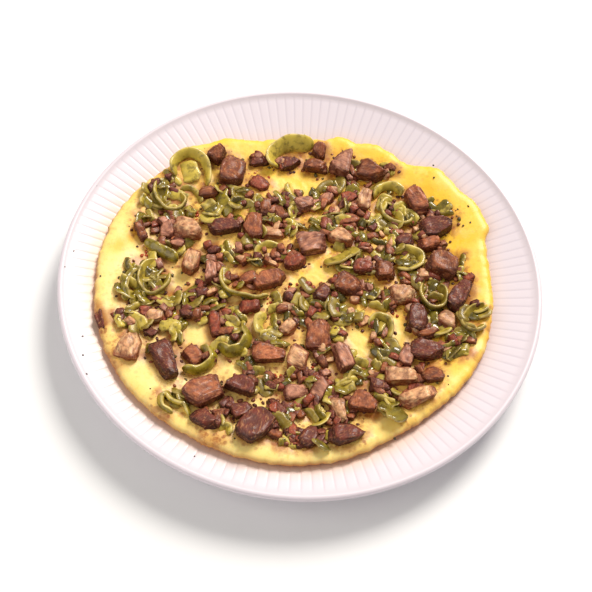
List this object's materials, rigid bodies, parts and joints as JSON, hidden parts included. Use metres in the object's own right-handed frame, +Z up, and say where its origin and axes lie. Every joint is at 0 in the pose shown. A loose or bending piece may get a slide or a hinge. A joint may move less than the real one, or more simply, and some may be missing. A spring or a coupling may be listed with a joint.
{
  "type": "open omelette with meat and pepper topping on a plate",
  "caption": "Open, flat, round omelette topped with diced browned meat and curled green pepper strips, served on a round rimmed plate.",
  "frame": {"origin": "centre of the plate, on the surface that its foot ring stands on", "axes": "+Z up along the plate's axis, +X to the right and +Y away from the viewer as the picture shows it"},
  "size_m": [0.265, 0.265, 0.029],
  "materials": {
    "porcelain": "white glazed porcelain with fine radial ribs",
    "egg": "set egg, soft yellow, browned at the edge, slightly moist",
    "meat": "browned cooked meat, moist",
    "pepper": "cooked green pepper, wet skin and paler flesh"
  },
  "bodies": {
    "root": {"plate": "porcelain", "omelette": "egg", "meat_01": "meat", "meat_02": "meat", "meat_03": "meat", "meat_04": "meat", "meat_05": "meat", "meat_06": "meat", "meat_07": "meat", "meat_08": "meat", "meat_09": "meat", "meat_10": "meat", "meat_11": "meat", "meat_12": "meat", "meat_13": "meat", "meat_14": "meat", "meat_15": "meat", "meat_16": "meat", "meat_17": "meat", "meat_18": "meat", "meat_19": "meat", "meat_20": "meat", "meat_21": "meat", "meat_22": "meat", "meat_23": "meat", "meat_24": "meat", "meat_25": "meat", "meat_26": "meat", "meat_27": "meat", "meat_28": "meat", "meat_29": "meat", "meat_30": "meat", "meat_31": "meat", "meat_32": "meat", "meat_33": "meat", "meat_34": "meat", "meat_35": "meat", "meat_36": "meat", "meat_37": "meat", "meat_38": "meat", "meat_39": "meat", "meat_40": "meat", "pepper_01": "pepper", "pepper_02": "pepper", "pepper_03": "pepper", "pepper_04": "pepper", "pepper_05": "pepper", "pepper_06": "pepper", "pepper_07": "pepper", "pepper_08": "pepper", "pepper_09": "pepper", "pepper_10": "pepper", "pepper_11": "pepper", "pepper_12": "pepper", "pepper_13": "pepper", "pepper_14": "pepper", "pepper_15": "pepper", "pepper_16": "pepper", "pepper_17": "pepper", "pepper_18": "pepper"}
  },
  "joints": []
}
